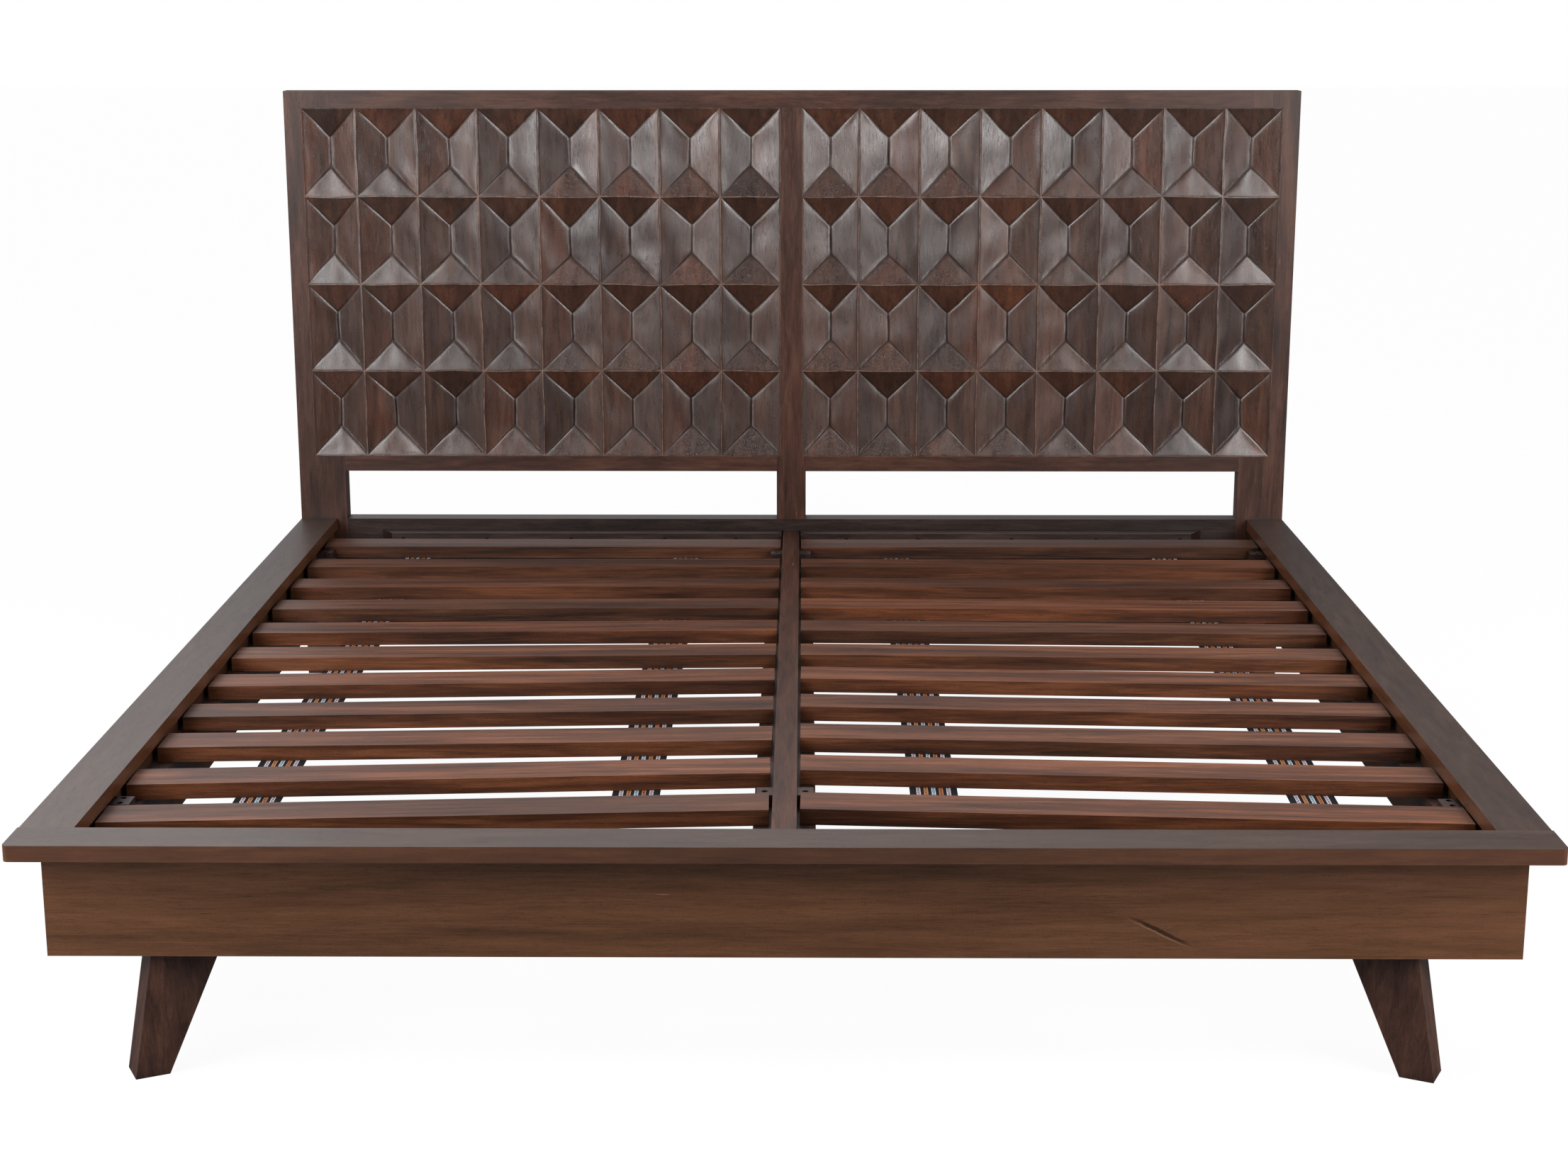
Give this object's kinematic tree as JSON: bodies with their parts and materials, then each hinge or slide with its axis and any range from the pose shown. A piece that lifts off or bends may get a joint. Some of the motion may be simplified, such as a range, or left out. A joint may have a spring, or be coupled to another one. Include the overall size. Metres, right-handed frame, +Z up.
{
  "type": "platform bed frame",
  "caption": "King size wooden platform bed with a headboard of carved panels of sunk pyramid-like cells, splayed front legs and lift-out banks of slats on webbing.",
  "frame": {"origin": "middle of the bed's footprint on the floor, at the centre of its bounding box's base", "axes": "+Y from the foot towards the headboard, +Z up, +X towards the right side as seen from the foot"},
  "size_m": [2.11, 2.18, 1.249],
  "materials": {
    "dark_wood": "dark brown stain, satin lacquer",
    "panel_wood": "hand carved, dark brown stain, satin lacquer",
    "slat_wood": "reddish brown stain, satin lacquer",
    "ledger_wood": "dark brown stain, thin lacquer",
    "webbing": "woven tape, dark with lengthwise white, orange and blue stripes",
    "zinc_steel": "zinc plated"
  },
  "bodies": {
    "frame": {"headboard_left_post": "dark_wood", "headboard_right_post": "dark_wood", "headboard_centre_post": "dark_wood", "headboard_top_rail": "dark_wood", "headboard_panel_rail_left": "dark_wood", "headboard_panel_rail_right": "dark_wood", "headboard_lower_rail": "dark_wood", "carved_panel_left": "panel_wood", "carved_panel_right": "panel_wood", "panel_screws": "zinc_steel", "head_cleat_left": "dark_wood", "head_cleat_right": "dark_wood", "left_side_rail": "dark_wood", "right_side_rail": "dark_wood", "foot_rail": "dark_wood", "left_side_cap": "dark_wood", "right_side_cap": "dark_wood", "foot_cap": "dark_wood", "centre_rail": "dark_wood", "left_ledger": "ledger_wood", "right_ledger": "ledger_wood", "centre_ledger_left": "ledger_wood", "centre_ledger_right": "ledger_wood", "stop_blocks": "ledger_wood", "wood_screws": "zinc_steel", "foot_corner_blocks": "ledger_wood", "leg_mounting_blocks": "ledger_wood", "front_left_leg": "dark_wood", "front_right_leg": "dark_wood", "support_legs": "ledger_wood", "leg_bolts": "zinc_steel", "steel_brackets": "zinc_steel", "bracket_bolts": "zinc_steel"},
    "left_slat_roll": {"slat_left_01": "slat_wood", "slat_left_02": "slat_wood", "slat_left_03": "slat_wood", "slat_left_04": "slat_wood", "slat_left_05": "slat_wood", "slat_left_06": "slat_wood", "slat_left_07": "slat_wood", "slat_left_08": "slat_wood", "slat_left_09": "slat_wood", "slat_left_10": "slat_wood", "slat_left_11": "slat_wood", "left_tapes": "webbing", "left_staples": "zinc_steel"},
    "right_slat_roll": {"slat_right_01": "slat_wood", "slat_right_02": "slat_wood", "slat_right_03": "slat_wood", "slat_right_04": "slat_wood", "slat_right_05": "slat_wood", "slat_right_06": "slat_wood", "slat_right_07": "slat_wood", "slat_right_08": "slat_wood", "slat_right_09": "slat_wood", "slat_right_10": "slat_wood", "slat_right_11": "slat_wood", "right_tapes": "webbing", "right_staples": "zinc_steel"}
  },
  "joints": [
    {"name": "left_slats_lift", "type": "slide", "parent": "frame", "child": "left_slat_roll", "axis": [0, 0, 1], "range_m": [0, 0.15]},
    {"name": "right_slats_lift", "type": "slide", "parent": "frame", "child": "right_slat_roll", "axis": [0, 0, 1], "range_m": [0, 0.15]}
  ]
}
